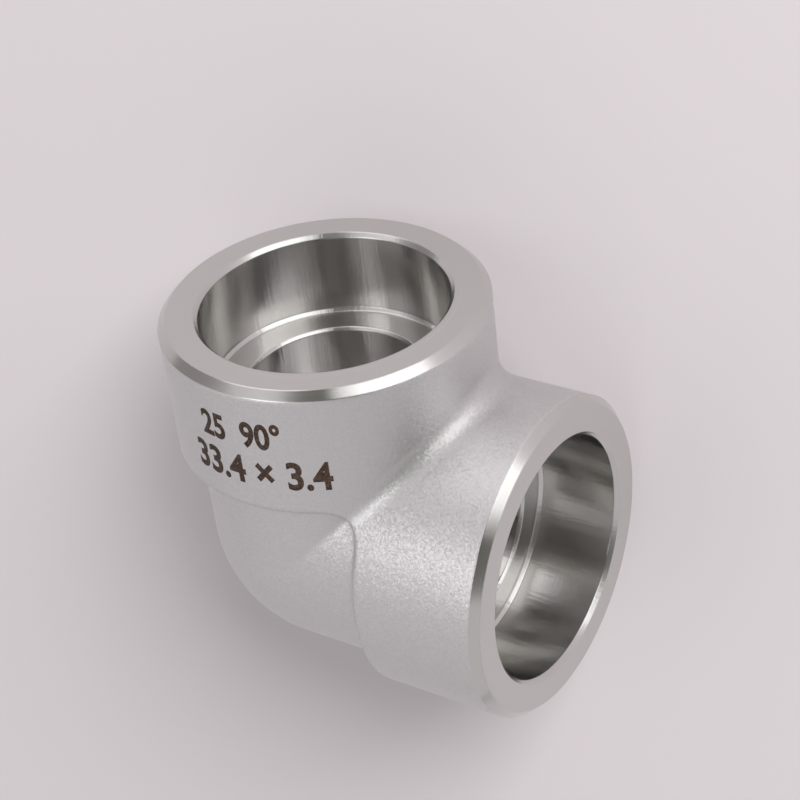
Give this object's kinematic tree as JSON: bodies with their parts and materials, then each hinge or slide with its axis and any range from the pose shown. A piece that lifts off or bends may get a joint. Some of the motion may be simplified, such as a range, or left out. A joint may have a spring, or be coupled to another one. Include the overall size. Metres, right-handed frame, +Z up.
{
  "type": "socket weld elbow",
  "caption": "Forged right-angle pipe elbow with collared socket ends that pipes slide into and are welded to, joined by a drilled waterway.",
  "frame": {"origin": "the work point, where the axes of the two sockets cross; it lies 19.8 mm above the surface that the elbow lies on", "axes": "+Z up, as the elbow lies on a table on the rims of both collars and on the ball of its heel; socket_x opens towards +X and socket_y towards +Y, each rising 9.3 degrees, and the elbow is symmetric about the upright plane X = Y, with its heel towards -X -Y"},
  "size_m": [0.0593, 0.0593, 0.0472],
  "materials": {
    "stainless_steel": "bead-blasted forging skin with machined mouths and bores"
  },
  "bodies": {
    "root": {"elbow_body": "stainless_steel"}
  },
  "joints": []
}
